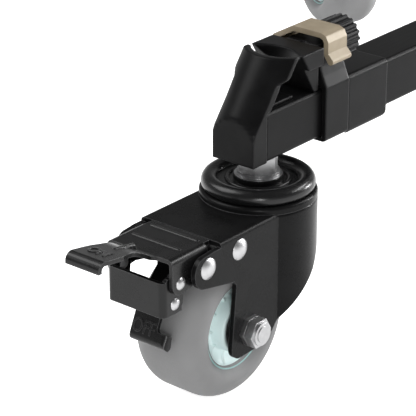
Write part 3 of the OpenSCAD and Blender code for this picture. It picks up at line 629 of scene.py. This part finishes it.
for arm in ARMS:
    finish = Finish(f"sealed_bearing_{arm}")
    x, z = millimetres(finish, arm, "XZ", -AXLE)
    radius = (x * x + z * z) ** 0.5
    past_inner = radius.band(SEAL_INNER, SEAL_INNER + SEAL_LIP)
    past_outer = radius.band(SEAL_OUTER, SEAL_OUTER + SEAL_LIP)
    seal = past_inner * (1 - past_outer)
    grind = rings(finish, radius, density=9, detail=3)
    steel = finish.mix(grind, (0.50, 0.50, 0.51), (0.60, 0.60, 0.61))
    bearing = finish.done(
        finish.mix(seal, steel, (0.015, 0.015, 0.016)),
        0.25 + grind * 0.1 + seal * 0.25,
        Metallic=1 - seal,
        Normal=finish.relief(grind, depth=0.003),
    )
    dress(bearing, f"wheel_bearings_{arm}")

# Brake pedals, links and brake arms
# Pressed from sheet steel and painted with the fork. ON stands up from the pedal's tongue and
# OFF from the release tab.

ACROSS = Vector((0, 1, 0))
LETTER_HEIGHT = 0.0006
TAB_LEAN = math.radians(24.1)
TAB_DOWN = Vector((math.sin(TAB_LEAN), 0, -math.cos(TAB_LEAN)))
TAB_OUT = Vector((math.cos(TAB_LEAN), 0, math.sin(TAB_LEAN)))
TAB_TOP = Vector((0.0723, -0.0035, 0.0594))
OFF_DOWN, OFF_OUT = 0.0142, 0.00102
TONGUE_SLOPE = 0.1644
TONGUE_HIGH, ON_UP = 0.0947, 0.0140

brake_paint = coated(
    "brake_enamel",
    dark=(0.005, 0.005, 0.0052),
    light=(0.009, 0.009, 0.0092),
    rough=0.28,
    gloss=0.24,
    grain=0.5,
    edge=0.4,
)
dress(brake_paint, *per_arm("lock_pedal", "link_bracket", "brake_arm"))


def lettering(name, words, width, height, spot, up, arm, body):
    """Raised letters on a sheet, with their middle at a spot and their tops towards up."""
    curve = bpy.data.curves.new(name, "FONT")
    curve.body = words
    curve.align_x = "CENTER"
    curve.align_y = "CENTER"
    curve.extrude = 0.0225
    curve.bevel_depth = 0.015
    curve.bevel_resolution = 1
    curve.resolution_u = 4
    mesh = evaluated(name, curve)
    low = Vector([min(v.co[k] for v in mesh.vertices) for k in range(3)])
    high = Vector([max(v.co[k] for v in mesh.vertices) for k in range(3)])
    size = high - low
    mesh.transform(Matrix.Translation(-(low + high) / 2))
    stretch = (width / size.x, height / size.y, LETTER_HEIGHT / size.z, 1)
    mesh.transform(Matrix.Diagonal(stretch))
    up = Vector(up).normalized()
    turn = Matrix((ACROSS, up, ACROSS.cross(up))).transposed().to_4x4()
    mesh.transform(arm_place(arm) @ Matrix.Translation(spot) @ turn)
    fit(name, mesh, brake_paint, body, smooth=False)


on_spot = Vector((0.1110, -0.0010, TONGUE_HIGH + TONGUE_SLOPE * ON_UP))
on_up = (-1, 0, -TONGUE_SLOPE)
off_spot = TAB_TOP + OFF_DOWN * TAB_DOWN + OFF_OUT * TAB_OUT

for arm in ARMS:
    pedal, brake_arm = f"pedal_{arm}", f"brake_arm_{arm}"
    lettering(f"on_letters_{arm}", "ON", 0.0110, 0.0068, on_spot, on_up, arm, pedal)
    lettering(f"off_letters_{arm}", "OFF", 0.0132, 0.0070, off_spot, -TAB_DOWN, arm, brake_arm)

# Camera and studio
# The photograph's camera: a long lens well above the caster, looking down 23.9 degrees. Broad
# soft lamps stand round a white floor.

PHOTO_WIDTH = 416
FOCAL_PIXELS = 2100
SENSOR = 36
HEADING = math.radians(39.6)
DROP = math.radians(23.9)
LAMP_TARGET = Vector((0.22, 0, 0.09))
FLOOR_HALF = 20

level = math.cos(DROP)
look = Vector((-math.cos(HEADING) * level, -math.sin(HEADING) * level, -math.sin(DROP)))
camera = bpy.data.objects.new("camera", bpy.data.cameras.new("camera"))
camera.data.sensor_width = SENSOR
camera.data.lens = FOCAL_PIXELS / PHOTO_WIDTH * SENSOR
camera.data.clip_end = 50
camera.location = (0.90457, 0.56556, 0.48621)
camera.rotation_euler = look.to_track_quat("-Z", "Y").to_euler()
bpy.context.scene.collection.objects.link(camera)
bpy.context.scene.camera = camera
bpy.context.scene.view_settings.view_transform = "Standard"


def softbox(name, toward, distance, width, height, strength):
    """A soft lamp that stands in a direction from the caster and faces it."""
    lamp = bpy.data.lights.new(name, "AREA")
    lamp.shape = "RECTANGLE"
    lamp.size = width
    lamp.size_y = height
    lamp.energy = strength
    piece = bpy.data.objects.new(name, lamp)
    away = Vector(toward).normalized()
    piece.location = LAMP_TARGET + distance * away
    piece.rotation_euler = (-away).to_track_quat("-Z", "Y").to_euler()
    bpy.context.scene.collection.objects.link(piece)


softbox("high_box", (0.45, -0.85, 1.15), distance=2.0, width=1.3, height=1.3, strength=26)
softbox("far_strip", (-0.70, 0.42, 0.58), distance=2.0, width=1.4, height=0.3, strength=18)
softbox("near_box", (0.72, 0.66, 0.13), distance=1.7, width=0.25, height=0.4, strength=8)
softbox("rear_box", (-0.85, 0.40, 0.16), distance=1.7, width=0.3, height=0.4, strength=22)


def shown(finish):
    """1 for a ray that the camera sees, straight or in metal or glass, else 0."""
    seen = finish.node("LightPath", output="Is Camera Ray")
    for kind in ("Is Glossy Ray", "Is Transmission Ray"):
        seen = seen.math("MAXIMUM", seen, finish.node("LightPath", output=kind))
    return seen


studio = Finish("studio", "World")
direction = studio.node("TexCoord", output="Generated")
height = studio.node("SeparateXYZ", values={0: direction}, output="Z")
backdrop = height.band(0.16, 0.34, start=0.6, end=0.2)
strength = studio.node("Mix", {"data_type": "FLOAT"}, {0: shown(studio), 2: 0.42, 3: backdrop})
sky = studio.node("Background", values={"Color": (1, 1, 1, 1), "Strength": strength})
bpy.context.scene.world = studio.ends(sky)

corners = [(FLOOR_HALF * u, FLOOR_HALF * v, 0) for u, v in ((-1, -1), (1, -1), (1, 1), (-1, 1))]
floor_mesh = bpy.data.meshes.new("floor")
floor_mesh.from_pydata(corners, [], [(0, 1, 2, 3)])
floor = bpy.data.objects.new("floor", floor_mesh)
bpy.context.scene.collection.objects.link(floor)
paper = Finish("white_floor")
cover = paper.node("BsdfDiffuse", values={"Color": (0.8, 0.8, 0.8, 1)})
glow = paper.node("Emission", values={"Color": (1, 1, 1, 1), "Strength": shown(paper) * 0.85})
floor_mesh.materials.append(paper.ends(paper.node("AddShader", values={0: cover, 1: glow})))
